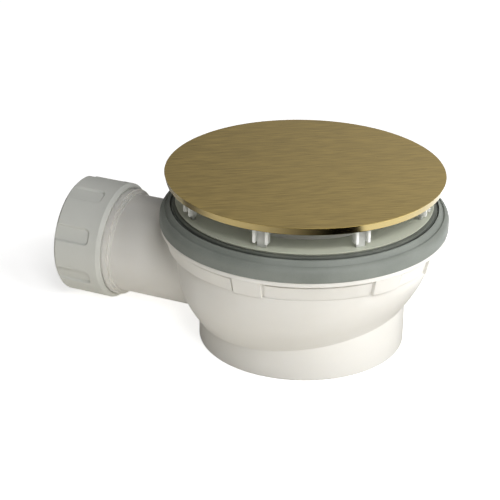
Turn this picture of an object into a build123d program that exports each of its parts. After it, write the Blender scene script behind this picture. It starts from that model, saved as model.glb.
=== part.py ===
"""Shower trap for a 90 mm tray hole: cover, clamp flange, seals, leaning bowl and 40 mm compression outlet.

Millimetres. The vertical axis is Z, the base stands on z = 0 and the outlet points along -X.
"""
import os

from build123d import *

# Neck through the tray hole, the radius that the upper pieces follow, and the flange round it
NECK_BORE_RADIUS = 43.3
NECK_WALL = 2.9
NECK_RISE = 3.5
FLANGE_WIDTH = 16.7
FLANGE_THICKNESS = 2.0

# Base cup and weir
BASE_RADIUS = 43.7
BASE_EDGE = 0.8
CUP_WALL = 2.4
CUP_FLOOR = 2.6
WEIR_HEIGHT = 38.0

# Leaning bowl
SEAM_HEIGHT = 43.5
BOWL_RADIUS = 57.1
BOWL_DEPTH = 47.6
BOWL_LEAN = 33.6
BOWL_SHIFT = 1.7
BOWL_RISE = 1.2
BOWL_WALL = 2.4
CREASE_RADIUS = 1.0
SHOULDER_SETBACK = 1.8
SHOULDER_SLOPE = 0.6
WELD_TONGUE_HEIGHT = 4.6
WELD_TONGUE_WALL = 2.0
WELD_CLEARANCE = 0.1

# Top ring, whose band flares up to the flange
BAND_HEIGHT = 6.95
BAND_FLARE = 2.0
BAND_WALL = 2.4
LAND_HEIGHT = 1.0
LAND_ANGLE = 12.2
LAND_CENTRES = (-89.6, -32.4, 32.4, 89.6)
FAR_LAND_ANGLE = 16.8
RING_PLATE = 2.4

# Tray seal and flange washer
SEAL_OVERHANG = 0.4
SEAL_HEIGHT = 7.55
SEAL_CLEARANCE = 0.3
SKIRT_HEIGHT = 3.6
SKIRT_SHOULDER = 2.0
GROOVE_DEPTH = 1.3
LIP_ROLL = 1.3
LIP_WIDTH = 1.5
LIP_RISE = 0.7
WASHER_SETBACK = 0.8
WASHER_WIDTH = 4.6
WASHER_THICKNESS = 1.2

# Clamp flange
DISH_SETBACK = 0.8
DISH_LIP = 1.2
DISH_UNDERCUT = 0.9
DISH_FLAT = 5.0
DISH_CLEARANCE = 0.2
BARREL_CLEARANCE = 0.3
BARREL_WALL = 2.6
BARREL_DEPTH = 17.0
SEAT_DEPTH = 4.2
SEAT_WIDTH = 3.2
SEAT_WALL = 2.2
SLEEVE_WALL = 2.2
SLEEVE_LENGTH = 7.0

# Dip tube and its ring
TUBE_RADIUS = 30.0
TUBE_WALL = 1.6
TUBE_FLOOR_GAP = 5.6
TUBE_FLANGE_THICKNESS = 2.0
TUBE_CLEARANCE = 0.3
COLLAR_THICKNESS = 1.9
O_RING_SECTION = 1.2
O_RING_DROP = 3.4

# Cover and its carrier
COVER_OVERHANG = 4.4
COVER_GAP = 9.6
COVER_RIM = 3.3
COVER_TAPER = 0.8
COVER_EDGE = 0.9
COVER_SHEET = 1.2
CARRIER_THICKNESS = 2.0
CARRIER_CLEARANCE = 0.2
LEG_COUNT = 8
LEG_START = 3.7
LEG_WIDTH = 6.4
LEG_WALL = 1.2
LEG_SETBACK = 0.6
LEG_REACH = 3.6
LEG_WALL_LENGTH = 7.45
TONGUE_SETBACK = 2.2
TONGUE_THICKNESS = 1.3
GUSSET_LENGTH = 9.0
GUSSET_THICKNESS = 1.2

# Outlet for a plain pipe, with lengths measured outwards along -X from the vertical axis
PIPE_RADIUS = 20.0
OUTLET_HEIGHT = 26.2
SOCKET_CLEARANCE = 0.25
SOCKET_WALL = 2.15
SOCKET_DEPTH = 21.0
PIPE_STOP = 1.0
SPIGOT_WALL = 2.45
SPIGOT_LENGTH = 80.9
STEP_LENGTH = 1.2
COLLAR_RISE = 1.1
COLLAR_LENGTH = 2.0
THREAD_WALL = 3.05
THREAD_LENGTH = 18.1
SEAT_CONE_LENGTH = 3.0
SEAT_CONE_RISE = 2.0

# Compression nut, its seal and slip washer
NUT_CLEARANCE = 0.3
NUT_WALL = 1.95
NUT_GAP = 0.4
NUT_LIP = 2.4
NUT_LIP_CLEARANCE = 0.7
NUT_EDGE = 1.2
NUT_BEVEL = 1.7
GRIP_COUNT = 8
GRIP_WIDTH = 6.8
GRIP_LENGTH = 16.6
GRIP_DEPTH = 0.6
GRIP_CORNER = 2.0
SLIP_THICKNESS = 1.0
SLIP_CLEARANCE = 0.6
CONE_SEAL_THICKNESS = 1.6
CONE_SEAL_CLEARANCE = 0.5
SEAT_CLEARANCE = 0.1

# Heights that follow from the sizes above
FLANGE_UNDERSIDE = SEAM_HEIGHT + BAND_HEIGHT
FLANGE_TOP = FLANGE_UNDERSIDE + FLANGE_THICKNESS
SEAL_LAND = FLANGE_TOP + SEAL_HEIGHT
WASHER_TOP = SEAL_LAND + WASHER_THICKNESS
DISH_TOP = WASHER_TOP + DISH_LIP
SEAT_HEIGHT = DISH_TOP - SEAT_DEPTH
O_RING_HEIGHT = SEAT_HEIGHT - O_RING_DROP
COVER_TOP = DISH_TOP + COVER_GAP + COVER_RIM
CARRIER_TOP = COVER_TOP - COVER_SHEET
CARRIER_UNDERSIDE = CARRIER_TOP - CARRIER_THICKNESS

# Radii that follow
FLANGE_RADIUS = NECK_BORE_RADIUS + FLANGE_WIDTH
LAND_RADIUS = FLANGE_RADIUS - BAND_FLARE
PANEL_RADIUS = LAND_RADIUS - LAND_HEIGHT
SKIRT_BORE_RADIUS = PANEL_RADIUS - BAND_WALL
TONGUE_OUTER = SKIRT_BORE_RADIUS - WELD_CLEARANCE
CHAMBER_RADIUS = TONGUE_OUTER - WELD_TONGUE_WALL
SHOULDER_RADIUS = PANEL_RADIUS - SHOULDER_SETBACK
CUP_BORE_RADIUS = BASE_RADIUS - CUP_WALL
NECK_RADIUS = NECK_BORE_RADIUS + NECK_WALL
BARREL_RADIUS = NECK_BORE_RADIUS - BARREL_CLEARANCE
SEAL_RADIUS = FLANGE_RADIUS + SEAL_OVERHANG
GROOVE_RADIUS = SEAL_RADIUS - SKIRT_SHOULDER
LIP_RADIUS = GROOVE_RADIUS - LIP_ROLL - LIP_WIDTH
WASHER_RADIUS = LIP_RADIUS - WASHER_SETBACK
DISH_RADIUS = WASHER_RADIUS - DISH_SETBACK
COVER_RADIUS = DISH_RADIUS + COVER_OVERHANG
LEG_RADIUS = DISH_RADIUS - LEG_SETBACK
TONGUE_RADIUS = LEG_RADIUS - TONGUE_SETBACK
SLEEVE_BORE_RADIUS = TUBE_RADIUS + COLLAR_THICKNESS + TUBE_CLEARANCE
SEAT_RADIUS = SLEEVE_BORE_RADIUS + SEAT_WIDTH
SOCKET_RADIUS = PIPE_RADIUS + SOCKET_CLEARANCE
SPIGOT_BORE_RADIUS = PIPE_RADIUS - PIPE_STOP
SPIGOT_RADIUS = SPIGOT_BORE_RADIUS + SPIGOT_WALL
STEP_RADIUS = SOCKET_RADIUS + SOCKET_WALL
COLLAR_RADIUS = STEP_RADIUS + COLLAR_RISE
THREAD_RADIUS = SOCKET_RADIUS + THREAD_WALL
NUT_BORE_RADIUS = THREAD_RADIUS + NUT_CLEARANCE
NUT_RADIUS = NUT_BORE_RADIUS + NUT_WALL

# Outlet stations that follow
STEP_END = SPIGOT_LENGTH + STEP_LENGTH
COLLAR_END = STEP_END + COLLAR_LENGTH
SPIGOT_END = COLLAR_END + THREAD_LENGTH
CONE_SEAL_END = SPIGOT_END + CONE_SEAL_THICKNESS
NUT_START = COLLAR_END + NUT_GAP
NUT_LIP_FACE = CONE_SEAL_END + SLIP_THICKNESS
NUT_END = NUT_LIP_FACE + NUT_LIP
OUTLET = Plane(origin=(0, 0, OUTLET_HEIGHT), x_dir=(0, 1, 0), z_dir=(-1, 0, 0))


def swept(*edges, arc=360):
    """Turn a closed outline of edges, drawn in radius and height, about the vertical axis."""
    return revolve(Plane.XZ * make_face(edges), Axis.Z, arc)


def turned(outline, arc=360):
    """Turn a closed outline of (radius, height) points about the vertical axis."""
    return swept(Polyline(*outline, close=True), arc=arc)


def tube(outer, inner, low, high):
    """A plain ring between two radii and two heights."""
    return turned([(inner, low), (outer, low), (outer, high), (inner, high)])


def rod(radius, low, high):
    """A plain round bar on the vertical axis."""
    return Pos(0, 0, low) * Cylinder(radius, high - low, align=(Align.CENTER, Align.CENTER, Align.MIN))


def spheroid(wall):
    """The bowl's flattened ball, leaning so that its floor falls to the outlet, smaller inside by a wall."""
    radius = BOWL_RADIUS - wall
    depth = BOWL_DEPTH - wall
    ball = swept(EllipticalCenterArc((0, 0), radius, depth, -90, arc_size=180), Line((0, -depth), (0, depth)))
    return Pos(BOWL_SHIFT, 0, SEAM_HEIGHT + BOWL_RISE) * Rot(0, -BOWL_LEAN, 0) * ball


def shoulder(wall):
    """The cone that rounds the bowl out to the seam all the way round, thinner inside by a wall."""
    drop = SEAM_HEIGHT - OUTLET_HEIGHT
    top = SHOULDER_RADIUS - wall
    foot = top - SHOULDER_SLOPE * drop
    return turned([(0, OUTLET_HEIGHT), (foot, OUTLET_HEIGHT), (top, SEAM_HEIGHT), (0, SEAM_HEIGHT)])


def between(solid, low, high):
    """What of the bowl's ball lies between two heights."""
    return solid & rod(2 * BOWL_RADIUS, low, high)


def trap_bowl():
    """Base cup, weir wall, leaning bowl, weld tongue and outlet spigot as one moulding."""
    cup = rod(BASE_RADIUS, 0, WEIR_HEIGHT)
    cup = fillet(cup.edges().group_by(Axis.Z)[0], BASE_EDGE)
    spigot = OUTLET * turned([
        (0, CUP_BORE_RADIUS), (SPIGOT_RADIUS, CUP_BORE_RADIUS), (SPIGOT_RADIUS, SPIGOT_LENGTH),
        (STEP_RADIUS, SPIGOT_LENGTH), (STEP_RADIUS, STEP_END), (COLLAR_RADIUS, STEP_END),
        (COLLAR_RADIUS, COLLAR_END), (THREAD_RADIUS, COLLAR_END), (THREAD_RADIUS, SPIGOT_END),
        (0, SPIGOT_END)])
    spigot -= rod(CHAMBER_RADIUS, SEAM_HEIGHT, FLANGE_TOP)
    body = between(spheroid(0), 0, SEAM_HEIGHT) + shoulder(0) + cup
    body = fillet(body.edges().filter_by(GeomType.BSPLINE).sort_by(Axis.Z)[0], CREASE_RADIUS)
    chamber = between(spheroid(BOWL_WALL), CUP_FLOOR, SEAM_HEIGHT) + shoulder(BOWL_WALL)
    chamber = chamber & rod(CHAMBER_RADIUS, CUP_FLOOR, SEAM_HEIGHT)
    waterway = OUTLET * turned([
        (0, 0), (SPIGOT_BORE_RADIUS, 0), (SPIGOT_BORE_RADIUS, SPIGOT_END - SOCKET_DEPTH),
        (SOCKET_RADIUS, SPIGOT_END - SOCKET_DEPTH), (SOCKET_RADIUS, SPIGOT_END - SEAT_CONE_LENGTH),
        (SOCKET_RADIUS + SEAT_CONE_RISE, SPIGOT_END), (0, SPIGOT_END)])
    hollow = chamber + waterway - rod(BASE_RADIUS, 0, WEIR_HEIGHT)
    tongue = tube(TONGUE_OUTER, CHAMBER_RADIUS, SEAM_HEIGHT, SEAM_HEIGHT + WELD_TONGUE_HEIGHT)
    return body + spigot + tongue - hollow - rod(CUP_BORE_RADIUS, CUP_FLOOR, SEAM_HEIGHT)


def band_land(centre, arc):
    """One raised stretch of the band, flush with the flange's edge at its top."""
    stretch = turned([
        (SKIRT_BORE_RADIUS, SEAM_HEIGHT), (LAND_RADIUS, SEAM_HEIGHT), (FLANGE_RADIUS, FLANGE_UNDERSIDE),
        (SKIRT_BORE_RADIUS, FLANGE_UNDERSIDE)], arc=arc)
    return Rot(0, 0, centre - arc / 2) * stretch


def top_ring():
    """Flange, band of lands and panels, and the threaded neck, welded onto the bowl."""
    plate_underside = FLANGE_TOP - RING_PLATE
    ring = turned([
        (NECK_BORE_RADIUS, SEAM_HEIGHT), (NECK_RADIUS, SEAM_HEIGHT), (NECK_RADIUS, plate_underside),
        (SKIRT_BORE_RADIUS, plate_underside), (SKIRT_BORE_RADIUS, SEAM_HEIGHT), (PANEL_RADIUS, SEAM_HEIGHT),
        (FLANGE_RADIUS - LAND_HEIGHT, FLANGE_UNDERSIDE), (FLANGE_RADIUS, FLANGE_UNDERSIDE),
        (FLANGE_RADIUS, FLANGE_TOP), (NECK_RADIUS, FLANGE_TOP), (NECK_RADIUS, FLANGE_TOP + NECK_RISE),
        (NECK_BORE_RADIUS, FLANGE_TOP + NECK_RISE)])
    lands = [band_land(0, FAR_LAND_ANGLE)] + [band_land(centre, LAND_ANGLE) for centre in LAND_CENTRES]
    spigot_notch = OUTLET * rod(SPIGOT_RADIUS + WELD_CLEARANCE, CHAMBER_RADIUS, FLANGE_RADIUS)
    return ring + lands - spigot_notch


def tray_seal():
    """Grey rubber ring: a flat land for the washer, a rolled lip, a groove and a round-shouldered skirt."""
    inner = NECK_RADIUS + SEAL_CLEARANCE
    skirt_top = (SEAL_RADIUS, FLANGE_TOP + SKIRT_HEIGHT)
    groove = (GROOVE_RADIUS, SEAL_LAND - GROOVE_DEPTH)
    lip_top = (LIP_RADIUS + LIP_WIDTH, SEAL_LAND + LIP_RISE)
    return swept(
        Polyline(lip_top, (LIP_RADIUS, SEAL_LAND + LIP_RISE), (LIP_RADIUS, SEAL_LAND), (inner, SEAL_LAND),
                 (inner, FLANGE_TOP), (SEAL_RADIUS, FLANGE_TOP), skirt_top),
        TangentArc(skirt_top, groove, tangent=(0, 1)),
        TangentArc(groove, lip_top, tangent=(0, 1)))


def flange_washer():
    """Thin dark ring under the dish's lip."""
    return tube(WASHER_RADIUS, WASHER_RADIUS - WASHER_WIDTH, SEAL_LAND, WASHER_TOP)


def clamp_flange():
    """The dish with its undercut lip, the barrel that screws into the neck and the dip tube's sleeve."""
    step = WASHER_RADIUS - WASHER_WIDTH - SEAL_CLEARANCE
    barrel_bore = BARREL_RADIUS - BARREL_WALL
    sleeve = SLEEVE_BORE_RADIUS + SLEEVE_WALL
    sleeve_end = SEAT_HEIGHT - SLEEVE_LENGTH
    seat_underside = SEAT_HEIGHT - SEAT_WALL
    plate_underside = SEAL_LAND + DISH_CLEARANCE
    inner_rim = SEAT_HEIGHT + TUBE_FLANGE_THICKNESS
    return turned([
        (DISH_RADIUS, DISH_TOP), (DISH_RADIUS - DISH_FLAT, DISH_TOP), (SEAT_RADIUS, inner_rim),
        (SEAT_RADIUS, SEAT_HEIGHT), (SLEEVE_BORE_RADIUS, SEAT_HEIGHT), (SLEEVE_BORE_RADIUS, sleeve_end),
        (sleeve, sleeve_end), (sleeve, seat_underside), (barrel_bore, seat_underside),
        (barrel_bore, DISH_TOP - BARREL_DEPTH), (BARREL_RADIUS, DISH_TOP - BARREL_DEPTH),
        (BARREL_RADIUS, plate_underside), (step, plate_underside), (step, WASHER_TOP),
        (DISH_RADIUS - DISH_UNDERCUT, WASHER_TOP)])


def dip_tube():
    """Lift-out tube that hangs in the base cup, with a seat flange and a grooved collar."""
    bore = TUBE_RADIUS - TUBE_WALL
    collar = TUBE_RADIUS + COLLAR_THICKNESS
    groove = SLEEVE_BORE_RADIUS - 2 * O_RING_SECTION - TUBE_CLEARANCE / 2
    groove_half = O_RING_SECTION + TUBE_CLEARANCE / 2
    rim = SEAT_RADIUS - TUBE_CLEARANCE
    top = SEAT_HEIGHT + TUBE_FLANGE_THICKNESS
    return turned([
        (bore, CUP_FLOOR + TUBE_FLOOR_GAP), (TUBE_RADIUS, CUP_FLOOR + TUBE_FLOOR_GAP),
        (TUBE_RADIUS, SEAT_HEIGHT - SLEEVE_LENGTH), (collar, SEAT_HEIGHT - SLEEVE_LENGTH),
        (collar, O_RING_HEIGHT - groove_half), (groove, O_RING_HEIGHT - groove_half),
        (groove, O_RING_HEIGHT + groove_half), (collar, O_RING_HEIGHT + groove_half),
        (collar, SEAT_HEIGHT), (rim, SEAT_HEIGHT), (rim, top), (bore, top)])


def dip_tube_o_ring():
    """Round rubber ring in the collar's groove, pressed against the sleeve."""
    centre = SLEEVE_BORE_RADIUS - O_RING_SECTION - TUBE_CLEARANCE / 4
    return Pos(0, 0, O_RING_HEIGHT) * Torus(centre, O_RING_SECTION)


def cover_plate():
    """Drawn sheet cap with a rounded top edge and a rim that draws in a little."""
    rim_foot = COVER_TOP - COVER_RIM
    outer_foot = COVER_RADIUS - COVER_TAPER
    shoulder_in = COVER_RADIUS - COVER_EDGE
    bend = COVER_EDGE * (1 - 0.5 ** 0.5)
    return swept(
        ThreePointArc((shoulder_in, COVER_TOP), (COVER_RADIUS - bend, COVER_TOP - bend),
                      (COVER_RADIUS, COVER_TOP - COVER_EDGE)),
        Polyline((COVER_RADIUS, COVER_TOP - COVER_EDGE), (outer_foot, rim_foot),
                 (outer_foot - COVER_SHEET, rim_foot), (COVER_RADIUS - COVER_SHEET, COVER_TOP - COVER_SHEET),
                 (0, COVER_TOP - COVER_SHEET), (0, COVER_TOP), (shoulder_in, COVER_TOP)))


def carrier_leg():
    """One leg on the +X side: two side walls, a tongue that stands on the dish and a gusset behind."""
    wall_foot = CARRIER_UNDERSIDE - LEG_WALL_LENGTH
    inner = LEG_RADIUS - LEG_REACH
    walls = [
        Pos(inner, side * (LEG_WIDTH - LEG_WALL) / 2, wall_foot)
        * Box(LEG_REACH, LEG_WALL, LEG_WALL_LENGTH, align=(Align.MIN, Align.CENTER, Align.MIN))
        for side in (-1, 1)
    ]
    tongue = Pos(TONGUE_RADIUS, 0, DISH_TOP) * Box(
        TONGUE_THICKNESS, LEG_WIDTH - LEG_WALL, CARRIER_UNDERSIDE - DISH_TOP,
        align=(Align.MAX, Align.CENTER, Align.MIN))
    tongue_back = TONGUE_RADIUS - TONGUE_THICKNESS
    gusset = extrude(Plane.XZ * make_face(Polyline(
        (tongue_back, wall_foot), (tongue_back, CARRIER_UNDERSIDE),
        (tongue_back - GUSSET_LENGTH, CARRIER_UNDERSIDE), close=True)), GUSSET_THICKNESS / 2, both=True)
    return tongue + walls + gusset


def cover_carrier():
    """Plastic disc pressed into the cap, with the legs round its underside."""
    disc_radius = COVER_RADIUS - COVER_TAPER - COVER_SHEET - CARRIER_CLEARANCE
    disc = rod(disc_radius, CARRIER_UNDERSIDE, CARRIER_TOP)
    leg = carrier_leg()
    return disc + [Rot(0, 0, LEG_START + 360 * index / LEG_COUNT) * leg for index in range(LEG_COUNT)]


def compression_nut():
    """Nut with chamfered ends, a lip for the pipe and long sunk grips that run out at its outer end."""
    lip = PIPE_RADIUS + NUT_LIP_CLEARANCE
    body = turned([
        (NUT_BORE_RADIUS, NUT_START), (NUT_RADIUS - NUT_EDGE, NUT_START), (NUT_RADIUS, NUT_START + NUT_BEVEL),
        (NUT_RADIUS, NUT_END - NUT_EDGE), (NUT_RADIUS - NUT_EDGE, NUT_END), (lip, NUT_END),
        (lip, NUT_LIP_FACE), (NUT_BORE_RADIUS, NUT_LIP_FACE)])
    plan = Pos(0, NUT_END - GRIP_LENGTH / 2) * Rectangle(GRIP_WIDTH, GRIP_LENGTH)
    plan = fillet(plan.vertices().group_by(Axis.Y)[0], GRIP_CORNER)
    blank = extrude(Plane.XZ * plan, -NUT_RADIUS)
    grip = blank - rod(NUT_RADIUS - GRIP_DEPTH, NUT_START, NUT_END)
    grips = [Rot(0, 0, 360 * (index + 0.5) / GRIP_COUNT) * grip for index in range(GRIP_COUNT)]
    return OUTLET * (body - grips)


def compression_seal():
    """Tapered rubber ring that the nut presses into the spigot's cone."""
    bore = PIPE_RADIUS + CONE_SEAL_CLEARANCE
    slope = SEAT_CONE_RISE / SEAT_CONE_LENGTH
    mouth = SOCKET_RADIUS + SEAT_CONE_RISE - SEAT_CLEARANCE
    nose = SPIGOT_END - (mouth - bore) / slope
    return OUTLET * turned([(bore, nose), (mouth, SPIGOT_END), (mouth, CONE_SEAL_END), (bore, CONE_SEAL_END)])


def slip_washer():
    """Thin ring that lets the nut turn on the seal."""
    bore = PIPE_RADIUS + SLIP_CLEARANCE
    return OUTLET * tube(NUT_BORE_RADIUS - NUT_CLEARANCE, bore, CONE_SEAL_END, NUT_LIP_FACE)


PIECES = {
    "trap_bowl": trap_bowl,
    "top_ring": top_ring,
    "tray_seal": tray_seal,
    "flange_washer": flange_washer,
    "clamp_flange": clamp_flange,
    "dip_tube": dip_tube,
    "dip_tube_o_ring": dip_tube_o_ring,
    "cover_plate": cover_plate,
    "cover_carrier": cover_carrier,
    "compression_nut": compression_nut,
    "compression_seal": compression_seal,
    "slip_washer": slip_washer,
}

os.makedirs("parts", exist_ok=True)
for name, make in PIECES.items():
    export_step(make(), f"parts/{name}.step")
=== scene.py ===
"""Shower trap: brass cover on legs, pale dish, grey tray seal, white leaning bowl and a compression outlet.

Metres, in the part's own frame: Z is the tray hole's axis, the base stands on z = 0, the outlet leaves
along -X.
"""

import logging
import math
from collections.abc import Callable, Iterable, Sequence
from dataclasses import dataclass, field
from enum import Enum

import bmesh
import bpy
from mathutils import Matrix, Vector


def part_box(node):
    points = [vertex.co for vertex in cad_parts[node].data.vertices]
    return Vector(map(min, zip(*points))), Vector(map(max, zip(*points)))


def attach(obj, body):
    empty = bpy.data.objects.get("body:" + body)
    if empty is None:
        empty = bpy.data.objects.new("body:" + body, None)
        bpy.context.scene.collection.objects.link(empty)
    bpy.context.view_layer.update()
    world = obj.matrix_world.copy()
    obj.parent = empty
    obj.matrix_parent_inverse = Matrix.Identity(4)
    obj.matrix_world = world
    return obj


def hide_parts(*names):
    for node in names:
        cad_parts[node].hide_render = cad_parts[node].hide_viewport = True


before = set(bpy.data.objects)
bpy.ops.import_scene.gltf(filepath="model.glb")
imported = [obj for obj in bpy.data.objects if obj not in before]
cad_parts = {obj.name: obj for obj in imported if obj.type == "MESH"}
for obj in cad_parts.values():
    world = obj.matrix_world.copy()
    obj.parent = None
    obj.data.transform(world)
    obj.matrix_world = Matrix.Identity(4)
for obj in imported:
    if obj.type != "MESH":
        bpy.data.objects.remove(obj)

LOG = logging.getLogger("shower_trap")
BODY = "root"

# How finely meshes are made: the steps of a turn and of a rounding, and where its guard point stands
TURN_STEPS = 256
ROUND_STEPS = 6
GUARD = 1.25
SHARP_ANGLE = math.radians(40)
MERGE_DISTANCE = 1e-7
LEAST_EDGE = 1e-8

Point = tuple[float, float]
Space = tuple[float, float, float]
Colour = tuple[float, float, float]


class Node(str, Enum):
    """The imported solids, by name."""

    BOWL = "trap_bowl"
    TOP_RING = "top_ring"
    SEAL = "tray_seal"
    WASHER = "flange_washer"
    DISH = "clamp_flange"
    TUBE = "dip_tube"
    O_RING = "dip_tube_o_ring"
    COVER = "cover_plate"
    CARRIER = "cover_carrier"
    NUT = "compression_nut"
    CONE_SEAL = "compression_seal"
    SLIP = "slip_washer"


class Slot(str, Enum):
    """The record's material slots that new pieces take their finish from."""

    BODY = "body_white"
    SEAL = "seal_grey"
    DISH = "flange_pale"
    COVER = "cover_brass"
    CARRIER = "carrier_milky"
    NUT = "nut_grey"


class Axis(Enum):
    """The two axes that turned pieces have, as the columns that carry a turned mesh onto them."""

    VERTICAL = ((1, 0, 0), (0, 1, 0), (0, 0, 1))
    OUTLET = ((0, 1, 0), (0, 0, -1), (-1, 0, 0))

    def placed(self, height: float = 0.0) -> Matrix:
        """The axis as a matrix, at a height on the vertical axis."""
        turn = Matrix(self.value).transposed().to_4x4()
        return Matrix.Translation((0, 0, height)) @ turn


# Node trees


class Socket:
    """One output of a node, with the arithmetic that shader maths needs."""

    def __init__(self, tree: "Tree", output: bpy.types.NodeSocket) -> None:
        """Hold an output and the tree that it belongs to."""
        self.tree = tree
        self.output = output

    def _math(self, operation: str, left: "Value", right: "Value") -> "Socket":
        """Add one Math node and return its result."""
        return self.tree.node("ShaderNodeMath", {"operation": operation}, {0: left, 1: right}).out()

    def __add__(self, other: "Value") -> "Socket":
        """Sum."""
        return self._math("ADD", self, other)

    def __radd__(self, other: float) -> "Socket":
        """Sum, number first."""
        return self._math("ADD", other, self)

    def __sub__(self, other: "Value") -> "Socket":
        """Difference."""
        return self._math("SUBTRACT", self, other)

    def __rsub__(self, other: float) -> "Socket":
        """Difference, number first."""
        return self._math("SUBTRACT", other, self)

    def __mul__(self, other: "Value") -> "Socket":
        """Product."""
        return self._math("MULTIPLY", self, other)

    def __rmul__(self, other: float) -> "Socket":
        """Product, number first."""
        return self._math("MULTIPLY", other, self)

    def __truediv__(self, other: "Value") -> "Socket":
        """Quotient."""
        return self._math("DIVIDE", self, other)

    def ramp(self, low: float, high: float) -> "Socket":
        """Smooth step from 0 at one value to 1 at another.

        Args:
            low: Value at which the step starts.
            high: Value at which it ends.

        Returns:
            The step, from 0 to 1.
        """
        settings = {"interpolation_type": "SMOOTHSTEP"}
        inputs = {"Value": self, "From Min": low, "From Max": high}
        return self.tree.node("ShaderNodeMapRange", settings, inputs).out("Result")


Value = Socket | float


class BuiltNode:
    """A node just added to a tree."""

    def __init__(self, tree: "Tree", node: bpy.types.Node) -> None:
        """Hold the node and its tree."""
        self.tree = tree
        self.node = node

    def out(self, key: str | int = 0) -> Socket:
        """One of the node's outputs, by name or place."""
        return Socket(self.tree, self.node.outputs[key])


class Tree:
    """A node tree that is built by calls instead of by hand."""

    def __init__(self, nodes: bpy.types.NodeTree) -> None:
        """Start from an empty tree."""
        self.nodes = nodes
        nodes.nodes.clear()

    def node(self, kind: str, settings: dict | None = None, inputs: dict | None = None) -> BuiltNode:
        """Add one node.

        Args:
            kind: The node's type name.
            settings: Its properties, set first.
            inputs: Values or links of its sockets, by name or place.

        Returns:
            The node.
        """
        node = self.nodes.nodes.new(kind)
        for name, value in (settings or {}).items():
            setattr(node, name, value)
        for key, value in (inputs or {}).items():
            if isinstance(value, Socket):
                self.nodes.links.new(value.output, node.inputs[key])
            else:
                node.inputs[key].default_value = value
        return BuiltNode(self, node)

    def dot(self, vector: Socket, way: Space) -> Socket:
        """How far a vector reaches along a way."""
        product = self.node("ShaderNodeVectorMath", {"operation": "DOT_PRODUCT"}, {0: vector, 1: way})
        return product.out("Value")

    def ray_kinds(self) -> tuple[Socket, Socket]:
        """Whether a ray comes from the eye, and whether it is mirrored or let through by a surface."""
        path = self.node("ShaderNodeLightPath")
        return path.out("Is Camera Ray"), path.out("Is Glossy Ray") + path.out("Is Transmission Ray")


class Shader(Tree):
    """A surface's node tree, with the patterns that several finishes share."""

    # Sockets of a Mix node that blends colours, by place
    FACTOR, FIRST, SECOND, BLEND = 0, 6, 7, 2
    BEVEL_SAMPLES = 8

    def __init__(self, name: str) -> None:
        """Make a material with an empty tree.

        Args:
            name: The material's name.
        """
        self.material = bpy.data.materials.new(name)
        self.material.use_nodes = True
        super().__init__(self.material.node_tree)
        self.coords = self.node("ShaderNodeTexCoord").out("Object")

    def stretched(self, scale: Space, turn: float = 0.0) -> Socket:
        """Object coordinates turned about Z, then scaled along each axis."""
        turned = self.node("ShaderNodeMapping", None, {"Vector": self.coords, "Rotation": (0, 0, -turn)})
        return self.node("ShaderNodeMapping", None, {"Vector": turned.out(), "Scale": scale}).out()

    def noise(self, scale: float, detail: float, vector: Socket | None = None) -> Socket:
        """Fractal noise from 0 to 1, on the object's coordinates unless others are given."""
        inputs = {"Vector": vector or self.coords, "Scale": scale, "Detail": detail}
        return self.node("ShaderNodeTexNoise", None, inputs).out(0)

    def mix(self, factor: Value, first: Colour | Socket, second: Colour | Socket) -> Socket:
        """Blend two colours.

        Args:
            factor: The second colour's share, from 0 to 1.
            first: The first colour.
            second: The second colour.

        Returns:
            The blend.
        """
        inputs = {self.FACTOR: factor}
        for place, colour in ((self.FIRST, first), (self.SECOND, second)):
            inputs[place] = colour if isinstance(colour, Socket) else (*colour, 1)
        return self.node("ShaderNodeMix", {"data_type": "RGBA"}, inputs).out(self.BLEND)

    def from_axis(self) -> Socket:
        """Distance of a point from the vertical axis."""
        flat = self.node("ShaderNodeVectorMath", {"operation": "MULTIPLY"}, {0: self.coords, 1: (1, 1, 0)})
        return self.node("ShaderNodeVectorMath", {"operation": "LENGTH"}, {0: flat.out()}).out("Value")

    def height(self) -> Socket:
        """Height of a point over the base."""
        return self.node("ShaderNodeSeparateXYZ", None, {0: self.coords}).out("Z")

    def bump(self, height: Socket, depth: float, soft_edge: float = 0.0) -> Socket:
        """A normal that follows a height.

        Args:
            height: The height, from 0 to 1.
            depth: What a height of 1 stands for, in metres.
            soft_edge: Radius to which sharp edges are rounded in the shading, in metres.

        Returns:
            The normal.
        """
        inputs = {"Height": height, "Distance": depth, "Strength": 1.0}
        if soft_edge:
            bevel = self.node("ShaderNodeBevel", {"samples": self.BEVEL_SAMPLES}, {"Radius": soft_edge})
            inputs["Normal"] = bevel.out()
        return self.node("ShaderNodeBump", None, inputs).out()

    def surface(self, inputs: dict) -> bpy.types.Material:
        """Close the tree with one shader.

        Args:
            inputs: Values or links of the shader's sockets, by name.

        Returns:
            The material.
        """
        shader = self.node("ShaderNodeBsdfPrincipled", None, inputs)
        self.node("ShaderNodeOutputMaterial", None, {"Surface": shader.out()})
        return self.material


# Finishes


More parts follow.
